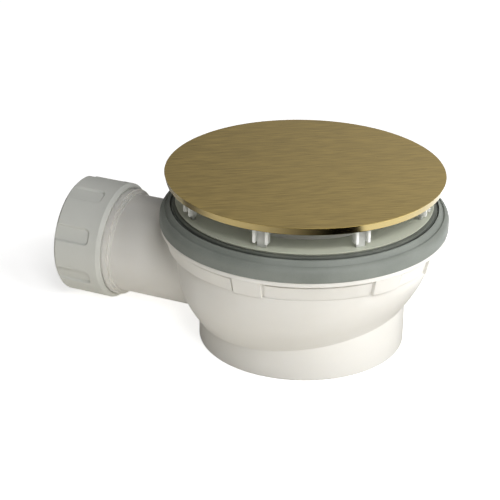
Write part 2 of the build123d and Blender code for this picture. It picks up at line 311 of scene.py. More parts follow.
@dataclass(frozen=True)
class MouldedPlastic:
    """Injection-moulded plastic: a fine matt grain, faint flow marks and a slight mottle."""

    name: str
    colour: Colour
    shade: Colour
    roughness: float = 0.42
    roughness_spread: float = 0.12
    grain_scale: float = 2600.0
    grain_detail: float = 3.0
    grain_depth: float = 0.000012
    mottle_scale: float = 34.0
    mottle_detail: float = 4.0
    flow_scale: float = 9.0
    flow_detail: float = 3.0
    flow_stretch: Space = (1.0, 1.0, 7.0)
    flow_share: float = 0.45
    tone_reach: Point = (0.3, 0.7)
    soft_edge: float = 0.0003
    ior: float = 1.49
    scatter: float = 0.0
    scatter_colours: Colour = (1.0, 0.9, 0.75)
    scatter_radius: float = 0.002

    def material(self) -> bpy.types.Material:
        """Build the finish.

        Returns:
            The material.
        """
        shader = Shader(self.name)
        grain = shader.noise(self.grain_scale, self.grain_detail)
        mottle = shader.noise(self.mottle_scale, self.mottle_detail)
        flow = shader.noise(self.flow_scale, self.flow_detail, shader.stretched(self.flow_stretch))
        tone = mottle * (1 - self.flow_share) + flow * self.flow_share
        return shader.surface({
            "Base Color": shader.mix(tone.ramp(*self.tone_reach), self.shade, self.colour),
            "Roughness": self.roughness + (grain + mottle - 1) * self.roughness_spread,
            "Normal": shader.bump(grain, self.grain_depth, self.soft_edge),
            "IOR": self.ior,
            "Subsurface Weight": self.scatter,
            "Subsurface Radius": self.scatter_colours,
            "Subsurface Scale": self.scatter_radius,
        })


@dataclass(frozen=True)
class MilkyPlastic:
    """Thin uncoloured plastic: white on its edges, with painted shade deep in the legs for their shadow and
    see-through.
    """

    name: str
    colour: Colour
    # Colour of the painted shade deep in the legs, and the radius inside which it lies
    painted_shade: Colour
    painted_shade_radius: float
    edge_radius: float
    leg_top: float
    roughness: float = 0.3
    roughness_spread: float = 0.15
    blend: float = 0.0004
    cloud_scale: float = 160.0
    grain_scale: float = 2600.0
    detail: float = 3.0
    grain_depth: float = 0.000004
    ior: float = 1.49

    def material(self) -> bpy.types.Material:
        """Build the finish.

        Returns:
            The material.
        """
        shader = Shader(self.name)
        cloud = shader.noise(self.cloud_scale, self.detail)
        grain = shader.noise(self.grain_scale, self.detail)
        # Painted shade: darker inside the tongue's front and below the disc, for shadow and see-through
        reach = shader.from_axis() + (cloud - 0.5) * self.blend
        inner = 1 - reach.ramp(self.painted_shade_radius, self.edge_radius)
        leg = 1 - shader.height().ramp(self.leg_top - self.blend, self.leg_top)
        return shader.surface({
            "Base Color": shader.mix(inner * leg, self.colour, self.painted_shade),
            "Roughness": self.roughness + (cloud - 0.5) * self.roughness_spread,
            "Normal": shader.bump(grain, self.grain_depth),
            "IOR": self.ior,
        })


@dataclass(frozen=True)
class MouldedRubber:
    """Moulded rubber: dull, finely speckled, with a bloom that lightens it in patches."""

    name: str
    colour: Colour
    bloom: Colour
    roughness: float = 0.58
    roughness_spread: float = 0.18
    grain_scale: float = 3200.0
    grain_detail: float = 4.0
    grain_depth: float = 0.00002
    grain_share: float = 0.5
    bloom_scale: float = 55.0
    bloom_detail: float = 5.0
    bloom_reach: Point = (0.3, 0.75)
    soft_edge: float = 0.0003
    ior: float = 1.5
    specular: float = 0.35

    def material(self) -> bpy.types.Material:
        """Build the finish.

        Returns:
            The material.
        """
        shader = Shader(self.name)
        grain = shader.noise(self.grain_scale, self.grain_detail)
        bloom = shader.noise(self.bloom_scale, self.bloom_detail)
        speckle = (grain - 0.5) * self.grain_share + bloom
        return shader.surface({
            "Base Color": shader.mix(speckle.ramp(*self.bloom_reach), self.colour, self.bloom),
            "Roughness": self.roughness + (bloom - 0.5) * self.roughness_spread,
            "Normal": shader.bump(grain, self.grain_depth, self.soft_edge),
            "IOR": self.ior,
            "Specular IOR Level": self.specular,
        })


@dataclass(frozen=True)
class BrushedBrass:
    """Brass sheet brushed in straight lines on its face, polished on its rim."""

    name: str
    colour: Colour
    shade: Colour
    rim_colour: Colour
    rim_top: float
    brush_angle: float
    roughness: float = 0.33
    roughness_spread: float = 0.35
    rim_roughness: float = 0.13
    fine_lines: Space = (26.0, 5200.0, 26.0)
    fine_detail: float = 3.0
    fine_share: float = 0.4
    broad_lines: Space = (110.0, 1500.0, 110.0)
    broad_detail: float = 4.0
    line_reach: Point = (0.38, 0.62)
    line_depth: float = 0.000004
    rim_blend: float = 0.0002

    def material(self) -> bpy.types.Material:
        """Build the finish.

        Returns:
            The material.
        """
        shader = Shader(self.name)
        fine = shader.noise(1.0, self.fine_detail, shader.stretched(self.fine_lines, self.brush_angle))
        broad = shader.noise(1.0, self.broad_detail, shader.stretched(self.broad_lines, self.brush_angle))
        lines = fine * self.fine_share + broad * (1 - self.fine_share)
        rim = 1 - shader.height().ramp(self.rim_top - self.rim_blend, self.rim_top)
        face = shader.mix(lines.ramp(*self.line_reach), self.shade, self.colour)
        brushed = self.roughness + (lines - 0.5) * self.roughness_spread
        return shader.surface({
            "Base Color": shader.mix(rim, face, self.rim_colour),
            "Roughness": brushed * (1 - rim) + self.rim_roughness * rim,
            "Metallic": 1.0,
            "Normal": shader.bump(lines * (1 - rim), self.line_depth),
        })


# Meshes


@dataclass(frozen=True)
class Corner:
    """One corner of a turned outline.

    Args:
        radius: Distance from the axis.
        height: Place along the axis.
        soft: How far back from the corner its rounding starts.
    """

    radius: float
    height: float
    soft: float = 0.0

    def run(self, other: "Corner") -> Vector:
        """The way from this corner to another."""
        return Vector((other.radius - self.radius, other.height - self.height))

    def towards(self, other: "Corner", distance: float) -> Vector:
        """The point at a distance from this corner on the way to another, and not beyond it."""
        run = self.run(other)
        return Vector((self.radius, self.height)) + run.normalized() * min(distance, run.length)

    def rounded(self, before: "Corner", after: "Corner") -> list[Point]:
        """The corner as points: itself if it is sharp, or a curve with a guard point on each straight.

        Args:
            before: The outline's corner before this one.
            after: The corner after it.

        Returns:
            The points, in order.
        """
        if not self.soft:
            return [(self.radius, self.height)]
        start, end = self.towards(before, self.soft), self.towards(after, self.soft)
        tip = Vector((self.radius, self.height))
        pull = math.sin(self.run(before).angle(self.run(after)) / 2)
        curve = [self.towards(before, self.soft * GUARD)]
        for step in range(ROUND_STEPS + 1):
            t = step / ROUND_STEPS
            weights = ((1 - t) ** 2, 2 * t * (1 - t) * pull, t ** 2)
            curve.append((start * weights[0] + tip * weights[1] + end * weights[2]) / sum(weights))
        curve.append(self.towards(after, self.soft * GUARD))
        return [tuple(point) for point in curve]


def rolled(start: Point, end: Point) -> Corner:
    """The corner whose rounding leaves one point straight up and ends, bent inwards, at another.

    Args:
        start: Radius and height at which the curve starts.
        end: Radius and height at which it ends.

    Returns:
        The corner.
    """
    inward, up = start[0] - end[0], end[1] - start[1]
    radius = (inward ** 2 + up ** 2) / (2 * inward)
    soft = radius * math.tan(math.asin(up / radius) / 2)
    return Corner(start[0], start[1] + soft, soft)


def outline(corners: Sequence[Corner]) -> list[Point]:
    """Round a closed outline's corners.

    Args:
        corners: The corners, in order.

    Returns:
        The outline's points, in order.
    """
    points: list[Point] = []
    for index, corner in enumerate(corners):
        points.extend(corner.rounded(corners[index - 1], corners[(index + 1) % len(corners)]))
    return points


def even_angles(count: int = TURN_STEPS) -> list[float]:
    """Angles spread evenly over a turn."""
    return [math.tau * step / count for step in range(count)]


def eased(share: float) -> float:
    """A share held between 0 and 1, with soft ends."""
    held = min(max(share, 0.0), 1.0)
    return held * held * (3 - 2 * held)


def turned_mesh(name: str, section: Callable[[float], Sequence[Point]], angles: Sequence[float],
                place: Matrix) -> bpy.types.Object:
    """A closed mesh round an axis, from the section that it has at each angle.

    Args:
        name: The piece's name.
        section: Gives the closed outline at an angle, always with as many points.
        angles: The angles at which it is asked, in order.
        place: Carries the axis onto the part.

    Returns:
        The new object, at the origin with its place in its mesh.
    """
    mesh = bmesh.new()
    rows = []
    for angle in angles:
        across = (math.cos(angle), math.sin(angle))
        rows.append([
            mesh.verts.new(place @ Vector((radius * across[0], radius * across[1], height)))
            for radius, height in section(angle)
        ])
    for here, there in zip(rows, rows[1:] + rows[:1]):
        for index in range(len(here)):
            mesh.faces.new((here[index - 1], here[index], there[index], there[index - 1]))
    bmesh.ops.remove_doubles(mesh, verts=mesh.verts, dist=MERGE_DISTANCE)
    bmesh.ops.dissolve_degenerate(mesh, edges=mesh.edges, dist=LEAST_EDGE)
    return linked(name, mesh)


def turned(name: str, corners: Sequence[Corner], place: Matrix) -> bpy.types.Object:
    """A plainly turned piece."""
    points = outline(corners)
    return turned_mesh(name, lambda angle: points, even_angles(), place)


def linked(name: str, mesh: bmesh.types.BMesh) -> bpy.types.Object:
    """Close a mesh under construction, shade it smooth and put it in the scene.

    Args:
        name: The piece's name.
        mesh: The mesh under construction.

    Returns:
        The new object.
    """
    bmesh.ops.recalc_face_normals(mesh, faces=mesh.faces)
    data = bpy.data.meshes.new(name)
    mesh.to_mesh(data)
    mesh.free()
    piece = bpy.data.objects.new(name, data)
    bpy.context.scene.collection.objects.link(piece)
    smooth(data)
    return piece


def smooth(data: bpy.types.Mesh) -> None:
    """Shade a mesh smooth, with its sharp corners kept."""
    data.polygons.foreach_set("use_smooth", [True] * len(data.polygons))
    data.set_sharp_from_angle(angle=SHARP_ANGLE)


def keep_result(piece: bpy.types.Object, modifier: bpy.types.Modifier) -> None:
    """Put a modifier's result into its piece's mesh and take the modifier off.

    Args:
        piece: The piece.
        modifier: Its one modifier.
    """
    seen = piece.evaluated_get(bpy.context.evaluated_depsgraph_get())
    data = bpy.data.meshes.new_from_object(seen)
    piece.modifiers.remove(modifier)
    piece.data = data
    smooth(data)


def soften(piece: bpy.types.Object, width: float, segments: int = 2) -> None:
    """Round a piece's sharp edges and keep the result in its mesh.

    Args:
        piece: The piece.
        width: How far the rounding reaches on each side of an edge.
        segments: How many faces the rounding has across.
    """
    bevel = piece.modifiers.new("soften", "BEVEL")
    bevel.width = width
    bevel.segments = segments
    bevel.limit_method = "ANGLE"
    bevel.angle_limit = SHARP_ANGLE
    keep_result(piece, bevel)


def dress(node: Node, material: bpy.types.Material) -> None:
    """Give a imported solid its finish.

    Args:
        node: The solid.
        material: Its material.
    """
    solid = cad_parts[node.value]
    solid.data.materials.clear()
    solid.data.materials.append(material)
    LOG.info("%s keeps its own mesh, %d faces", node.value, len(solid.data.polygons))


def stand_for(piece: bpy.types.Object, node: Node, material: bpy.types.Material) -> None:
    """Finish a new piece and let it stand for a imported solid.

    Args:
        piece: The new piece, in place.
        node: The solid that it stands for.
        material: Its material.
    """
    piece.data.materials.clear()
    piece.data.materials.append(material)
    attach(piece, BODY)
    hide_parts(node.value)
    LOG.info("%s stands for %s, %d faces", piece.name, node.value, len(piece.data.polygons))


# Repeats round the axis


class RingPattern(Tree):
    """Geometry Nodes that set copies of one piece round the vertical axis and join them to a base mesh."""

    def __init__(self, name: str) -> None:
        """Build the tree with its named inputs.

        Args:
            name: The tree's name.
        """
        group = bpy.data.node_groups.new(name, "GeometryNodeTree")
        super().__init__(group)
        face = group.interface
        face.new_socket("Geometry", in_out="OUTPUT", socket_type="NodeSocketGeometry")
        face.new_socket("Geometry", in_out="INPUT", socket_type="NodeSocketGeometry")
        self.sockets = {
            label: face.new_socket(label, in_out="INPUT", socket_type=kind).identifier
            for label, kind in (("Copy", "NodeSocketObject"), ("Count", "NodeSocketInt"),
                                ("First Angle", "NodeSocketFloat"), ("Material", "NodeSocketMaterial"))
        }
        inputs = self.node("NodeGroupInput")
        copy = self.node(
            "GeometryNodeObjectInfo", {"transform_space": "ORIGINAL"}, {"Object": inputs.out("Copy")})
        points = self.node("GeometryNodeMeshLine", None, {"Count": inputs.out("Count"), "Offset": (0, 0, 0)})
        index = self.node("GeometryNodeInputIndex").out()
        angle = index * math.tau / inputs.out("Count") + inputs.out("First Angle")
        turn = self.node("ShaderNodeCombineXYZ", None, {"Z": angle})
        copies = self.node("GeometryNodeInstanceOnPoints", None, {
            "Points": points.out(), "Instance": copy.out("Geometry"), "Rotation": turn.out()})
        joined = self.node("GeometryNodeJoinGeometry")
        for part in (inputs.out("Geometry"), copies.out()):
            group.links.new(part.output, joined.node.inputs[0])
        real = self.node("GeometryNodeRealizeInstances", None, {"Geometry": joined.out()})
        final = self.node("GeometryNodeSetMaterial", None, {
            "Geometry": real.out(), "Material": inputs.out("Material")})
        self.node("NodeGroupOutput", None, {"Geometry": final.out()})

    def apply(self, base: bpy.types.Object, copy: bpy.types.Object, count: int, first_angle: float,
              material: bpy.types.Material) -> None:
        """Run the tree on a base mesh and keep the result as a plain mesh.

        Args:
            base: The object whose mesh gets the copies.
            copy: The object that is copied; it is removed afterwards.
            count: How many copies there are.
            first_angle: Angle of the first copy, in radians.
            material: Material of the whole piece.
        """
        modifier = base.modifiers.new("ring", "NODES")
        modifier.node_group = self.nodes
        values = {"Copy": copy, "Count": count, "First Angle": first_angle, "Material": material}
        for label, value in values.items():
            modifier[self.sockets[label]] = value
        keep_result(base, modifier)
        bpy.data.objects.remove(copy)


# Sub-assemblies


@dataclass
class CoverAssembly:
    """The brass cap and the milky disc under it, with the legs that stand on the dish."""

    sheet: float = 0.0012
    taper: float = 0.0008
    top_soft: float = 0.0001
    foot_soft: float = 0.0003
    disc_clearance: float = 0.0002
    disc_thickness: float = 0.002
    disc_soft: float = 0.0004
    leg_count: int = 8
    leg_first_angle: float = math.radians(3.7)
    leg_width: float = 0.0064
    leg_wall: float = 0.0012
    leg_wall_length: float = 0.00745
    leg_setback: float = 0.005
    tongue_setback: float = 0.0022
    tongue_thickness: float = 0.0013
    gusset_length: float = 0.009
    gusset_thickness: float = 0.0012
    leg_soft: float = 0.00022
    brush_angle: float = math.radians(34)
    radius: float = field(init=False)
    top: float = field(init=False)
    foot: float = field(init=False)
    dish_top: float = field(init=False)

    def __post_init__(self) -> None:
        """Take the cap's radius and heights, and the dish's top, from the frame."""
        low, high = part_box(Node.COVER.value)
        self.radius, self.top, self.foot = high.x, high.z, low.z
        self.dish_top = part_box(Node.CARRIER.value)[0].z

    @property
    def disc_top(self) -> float:
        """Height of the disc's upper face, against the sheet."""
        return self.top - self.sheet

    @property
    def disc_foot(self) -> float:
        """Height of the disc's underside."""
        return self.disc_top - self.disc_thickness

    @property
    def leg_front(self) -> float:
        """Distance of the leg walls' outer edges from the axis."""
        return self.radius - self.leg_setback

    @property
    def tongue_front(self) -> float:
        """Distance of the tongue's outer face from the axis."""
        return self.leg_front - self.tongue_setback

    def build(self) -> None:
        """Make and dress the cap and its carrier."""
        brass = BrushedBrass(
            "brass_brushed", (0.385, 0.279, 0.085), (0.28, 0.2, 0.053), (0.4, 0.31, 0.135),
            rim_top=self.top - self.top_soft / 4, brush_angle=self.brush_angle)
        stand_for(self.plate(), Node.COVER, brass.material())
        # The milky plastic's second colour is painted shade, deep in the legs under the disc
        milky = MilkyPlastic(
            "plastic_milky", (0.92, 0.93, 0.91), (0.55, 0.56, 0.54), painted_shade_radius=self.tongue_front,
            edge_radius=self.leg_front, leg_top=self.disc_foot)
        material = milky.material()
        carrier = self.disc()
        pattern = RingPattern("legs_round_the_disc")
        pattern.apply(carrier, self.leg(), self.leg_count, self.leg_first_angle, material)
        stand_for(carrier, Node.CARRIER, material)

    def plate(self) -> bpy.types.Object:
        """Make the sheet cap: a rolled top edge and a rim that draws in towards its foot.

        Returns:
            The piece.
        """
        rim_foot = self.radius - self.taper
        return turned("cover_cap", [
            Corner(0, self.top), Corner(self.radius, self.top, self.top_soft),
            Corner(rim_foot, self.foot, self.foot_soft),
            Corner(rim_foot - self.sheet, self.foot, self.foot_soft),
            Corner(self.radius - self.sheet, self.disc_top, self.foot_soft), Corner(0, self.disc_top)],
            Axis.VERTICAL.placed())

    def disc(self) -> bpy.types.Object:
        """Make the round plate that fills the cap.

        Returns:
            The piece, without the legs.
        """
        radius = self.radius - self.taper - self.sheet - self.disc_clearance
        return turned("cover_carrier_legs", [
            Corner(0, self.disc_top), Corner(radius, self.disc_top, self.disc_soft),
            Corner(radius, self.disc_foot, self.disc_soft), Corner(0, self.disc_foot)],
            Axis.VERTICAL.placed())

    def leg(self) -> bpy.types.Object:
        """Make one leg on the +X side: two walls, a tongue between them that reaches the dish, and a gusset.

        Returns:
            The leg, to be copied round the disc.
        """
        tongue_back = self.tongue_front - self.tongue_thickness
        wall_foot = self.disc_foot - self.leg_wall_length
        half = self.leg_width / 2
        inner = half - self.leg_wall
        across = (-half, -inner, inner, half)
        along = (tongue_back, self.tongue_front, self.leg_front)
        mesh = bmesh.new()
        plan = {
            (row, column): mesh.verts.new((along[row], across[column], self.disc_foot))
            for row in range(len(along)) for column in range(len(across))
        }
        tongue_row, web = 0, 1
        corners = ((0, 0), (1, 0), (1, 1), (0, 1))
        faces = {
            (row, column): mesh.faces.new([plan[row + i, column + j] for i, j in corners])
            for row in range(len(along) - 1) for column in range(len(across) - 1)
            if column != web or row == tongue_row
        }
        lower = self.pushed(mesh, list(faces.values()), wall_foot, keep=True)
        tongue = lower[list(faces).index((tongue_row, web))]
        self.pushed(mesh, [tongue], self.dish_top, keep=False)
        bmesh.ops.delete(mesh, geom=[v for v in mesh.verts if not v.link_faces], context="VERTS")
        self.gusset(mesh, tongue_back + self.tongue_thickness / 2, wall_foot)
        piece = linked("cover_leg", mesh)
        soften(piece, self.leg_soft)
        return piece

    @staticmethod
    def pushed(mesh: bmesh.types.BMesh, faces: list[bmesh.types.BMFace], height: float,
               keep: bool) -> list[bmesh.types.BMFace]:
        """Extrude faces down to a height.

        Args:
            mesh: The mesh under construction.
            faces: The faces, side by side.
            height: Where their copies end.
            keep: Whether the faces stay, as the top of what is extruded.

        Returns:
            The faces' copies, in the same order.
        """
        centres = [face.calc_center_median().xy for face in faces]
        grown = bmesh.ops.extrude_face_region(mesh, geom=faces, use_keep_orig=True)["geom"]
        if not keep:
            bmesh.ops.delete(mesh, geom=faces, context="FACES_ONLY")
        for vert in (item for item in grown if isinstance(item, bmesh.types.BMVert)):
            vert.co.z = height
        copies = [item for item in grown if isinstance(item, bmesh.types.BMFace)]
        ends = [face for face in copies if abs(face.calc_center_median().z - height) < MERGE_DISTANCE]
        return [
            min(ends, key=lambda face: (face.calc_center_median().xy - centre).length) for centre in centres
        ]

    def gusset(self, mesh: bmesh.types.BMesh, back: float, foot: float) -> None:
        """Add the three-cornered rib behind the tongue.

        Args:
            mesh: The mesh under construction.
            back: Distance from the axis at which it starts, inside the tongue.
            foot: Height at which the rib ends.
        """
        sides = []
        for y in (-self.gusset_thickness / 2, self.gusset_thickness / 2):
            corners = ((back, foot), (back, self.disc_foot), (back - self.gusset_length, self.disc_foot))
            sides.append([mesh.verts.new((x, y, z)) for x, z in corners])
        near, far = sides
        mesh.faces.new(near)
        mesh.faces.new(far[::-1])
        for index in range(len(near)):
            mesh.faces.new((near[index], near[index - 1], far[index - 1], far[index]))


@dataclass
class ClampAssembly:
    """The dish that clamps the tray, its washer, and the dip tube that hangs in it."""

    undercut: float = 0.0009
    flat: float = 0.005
    lip: float = 0.0012
    step_radius: float = 0.0499
    plate_gap: float = 0.0022
    barrel_radius: float = 0.043
    barrel_wall: float = 0.0026
    seat_depth: float = 0.0042
    seat_radius: float = 0.0354
    rim_height: float = 0.002
    sleeve_radius: float = 0.0322
    sleeve_wall: float = 0.0022
    sleeve_length: float = 0.007
    seat_wall: float = 0.0022
    lip_soft: float = 0.0002
    flat_soft: float = 0.002
    undercut_soft: float = 0.00025
    soft: float = 0.0005

    def build(self) -> None:
        """Make and dress the dish, and dress the washer, the tube and its ring."""
        pale = MouldedPlastic(
            "plastic_pale", (0.56, 0.58, 0.485), (0.51, 0.53, 0.44), roughness=0.34, grain_depth=0.000008)
        stand_for(self.dish(), Node.DISH, pale.material())
        dark = MouldedRubber("rubber_dark", (0.11, 0.12, 0.105), (0.16, 0.17, 0.15))
        dress(Node.WASHER, dark.material())
        black = MouldedRubber("rubber_black", (0.02, 0.02, 0.02), (0.045, 0.045, 0.045), roughness=0.45)
        dress(Node.O_RING, black.material())
        white = MouldedPlastic("plastic_tube", (0.8, 0.79, 0.76), (0.75, 0.74, 0.7), roughness=0.3)
        dress(Node.TUBE, white.material())

    def dish(self) -> bpy.types.Object:
        """Make the dish with its undercut lip, the barrel under it and the tube's sleeve.

        Returns:
            The piece.
        """
        low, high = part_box(Node.DISH.value)
        radius, top, foot = high.x, high.z, low.z
        seat = top - self.seat_depth
        seat_foot = seat - self.seat_wall
        sleeve = self.sleeve_radius + self.sleeve_wall
        bore = self.barrel_radius - self.barrel_wall
        lip_foot = top - self.lip
        return turned("clamp_dish", [
            Corner(radius, top, self.lip_soft), Corner(radius - self.flat, top, self.flat_soft),
            Corner(self.seat_radius, seat + self.rim_height, self.soft), Corner(self.seat_radius, seat),
            Corner(self.sleeve_radius, seat, self.soft),
            Corner(self.sleeve_radius, seat - self.sleeve_length),
            Corner(sleeve, seat - self.sleeve_length), Corner(sleeve, seat_foot, self.soft),
            Corner(bore, seat_foot, self.soft), Corner(bore, foot),
            Corner(self.barrel_radius, foot, self.soft),
            Corner(self.barrel_radius, top - self.plate_gap, self.soft),
            Corner(self.step_radius, top - self.plate_gap), Corner(self.step_radius, lip_foot),
            Corner(radius - self.undercut, lip_foot, self.undercut_soft)], Axis.VERTICAL.placed())


@dataclass
class TraySeal:
    """The thick grey ring: a rolled lip, a groove and a skirt with a round shoulder."""

    bore: float = 0.0465
    land_drop: float = 0.0007
    lip_radius: float = 0.0556
    lip_width: float = 0.0007
    lip_soft: float = 0.0003
    lip_round: float = 0.0006
    groove_radius: float = 0.058
    groove_depth: float = 0.0015
    crest_out: float = 0.0005
    crest_rise: float = 0.0004
    skirt_height: float = 0.0036
    foot_soft: float = 0.0004

    def build(self) -> None:
        """Make and dress the seal."""
        low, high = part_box(Node.SEAL.value)
        radius, foot, top = high.x, low.z, high.z
        land = top - self.land_drop
        groove = (self.groove_radius, land - self.groove_depth)
        crest = (groove[0] + self.crest_out, groove[1] + self.crest_rise)
        lip = (self.lip_radius + self.lip_width, top)
        piece = turned("tray_seal_ring", [
            Corner(self.bore, foot), Corner(radius, foot, self.foot_soft),
            rolled((radius, foot + self.skirt_height), crest), Corner(*crest), Corner(*groove),
            Corner(*lip, self.lip_round), Corner(self.lip_radius, top, self.lip_soft),
            Corner(self.lip_radius, land), Corner(self.bore, land)], Axis.VERTICAL.placed())
        grey = MouldedRubber("rubber_grey", (0.192, 0.21, 0.189), (0.233, 0.252, 0.229), roughness=0.55)
        stand_for(piece, Node.SEAL, grey.material())


@dataclass
class TrapBody:
    """The welded top ring with its lands, and the leaning bowl with its base cup and spigot."""

    flange_thickness: float = 0.002
    flange_soft: float = 0.0003
    flare: float = 0.002
    land_height: float = 0.001
    lands: tuple[Point, ...] = ((-89.6, 12.2), (-32.4, 12.2), (0.0, 16.8), (32.4, 12.2), (89.6, 12.2))
    land_side: float = 0.0003
    land_side_steps: int = 4
    flush_gap: float = 0.00002
    line_width: float = 0.00085
    line_depth: float = 0.0007
    line_least: float = 0.02
    step_soft: float = 0.6
    skirt_wall: float = 0.0024
    plate: float = 0.0024
    neck_bore: float = 0.0433
    neck_radius: float = 0.0462
    neck_rise: float = 0.0035
    notch_clearance: float = 0.0001
    notch_margin: float = 0.00001
    spigot_radius: float = 0.02145
    outlet_height: float = 0.0262
    angle_digits: int = 6
    seam: float = field(init=False)
    top: float = field(init=False)
    radius: float = field(init=False)
    skirt_bore: float = field(init=False)
    rise: float = field(init=False)

    def __post_init__(self) -> None:
        """Take the ring's radius and heights from the frame."""
        low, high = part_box(Node.TOP_RING.value)
        self.seam, self.top, self.radius = low.z, high.z, high.x
        self.skirt_bore = self.radius - self.flare - self.land_height - self.skirt_wall
        self.rise = self.top - self.neck_rise - self.flange_thickness - self.seam

    def build(self) -> None:
        """Make and dress the top ring, and dress the bowl."""
        white = MouldedPlastic(
            "plastic_white", (0.8, 0.79, 0.755), (0.755, 0.742, 0.7), roughness=0.38, scatter=0.12,
            scatter_radius=0.0015)
        material = white.material()
        ring = turned_mesh("top_ring_lands", self.section, self.angles(), Axis.VERTICAL.placed())
        stand_for(ring, Node.TOP_RING, material)
        dress(Node.BOWL, material)

    def land_share(self, angle: float) -> float:
        """How far the band stands out at an angle: 0 on a panel, 1 on a land, between on a land's side."""
        return eased(0.5 - self.beyond_land(angle) / self.land_side)

    def beyond_land(self, angle: float) -> float:
        """Measure the way round the ring from an angle to the nearest land's side.

        Args:
            angle: Angle round the vertical axis.

        Returns:
            The distance, less than zero on a land.
        """
        return self.radius * min(
            abs(math.remainder(angle - math.radians(centre), math.tau)) - math.radians(width) / 2
            for centre, width in self.lands)

    def angles(self) -> list[float]:
        """Spread angles evenly, with more of them at the sides of the lands and of the lines beside them.

        Returns:
            The angles, in order.
        """
        side = self.land_side / self.radius
        offsets = [side * (step / self.land_side_steps - 0.5) for step in range(self.land_side_steps + 1)]
        line_end = side / 2 + self.line_width / self.radius
        offsets += [line_end - side / 4, line_end, line_end + side / 4]
        extra = [
            math.radians(centre) + edge * (math.radians(width) / 2 + offset)
            for centre, width in self.lands for edge in (-1, 1) for offset in offsets
        ]
        return sorted({round(angle % math.tau, self.angle_digits) for angle in even_angles() + extra})

    def section(self, angle: float) -> list[Point]:
        """Draw the ring at an angle: land or panel with its line, and the spigot's notch in the lower edge.

        Args:
            angle: Angle round the vertical axis.

        Returns:
            The outline's points, in order.
        """
        flange_top = self.top - self.neck_rise
        underside = flange_top - self.flange_thickness
        plate_foot = flange_top - self.plate
        panel = 1 - self.land_share(angle)
        sunk = max(self.land_height * panel, self.flush_gap)
        in_line = panel if self.beyond_land(angle) < self.land_side / 2 + self.line_width else 0.0
        line = self.line_depth * panel
        foot = self.radius - self.flare - sunk - self.line_depth * in_line
        face = self.radius - sunk - self.line_depth * in_line
        line_foot = underside - self.line_width * max(panel, self.line_least)
        points = outline([
            Corner(self.neck_bore, self.seam), Corner(self.neck_radius, self.seam),
            Corner(self.neck_radius, plate_foot), Corner(self.skirt_bore, plate_foot),
            Corner(self.skirt_bore, self.seam), Corner(foot, self.seam),
            Corner(face - self.flare * self.line_width / self.rise, line_foot),
            Corner(self.radius - sunk - line, line_foot), Corner(self.radius - sunk - line, underside),
            Corner(self.radius, underside, min(self.flange_soft, sunk * self.step_soft)),
            Corner(self.radius, flange_top, self.flange_soft), Corner(self.neck_radius, flange_top),
            Corner(self.neck_radius, self.top), Corner(self.neck_bore, self.top)])
        floor = self.notch_floor(angle)
        band = self.skirt_bore - self.notch_margin
        return [(r, max(z, floor) if r > band else z) for r, z in points]

    def notch_floor(self, angle: float) -> float:
        """Find the height that the band's lower edge has to clear over the spigot.

        Args:
            angle: Angle round the vertical axis.

        Returns:
            The height, or 0 away from the spigot.
        """
        aside = (self.radius - self.flare) * math.sin(angle)
        reach = self.spigot_radius + self.notch_clearance
        if math.cos(angle) > 0 or abs(aside) >= reach:
            return 0.0
        return self.outlet_height + math.sqrt(reach ** 2 - aside ** 2)


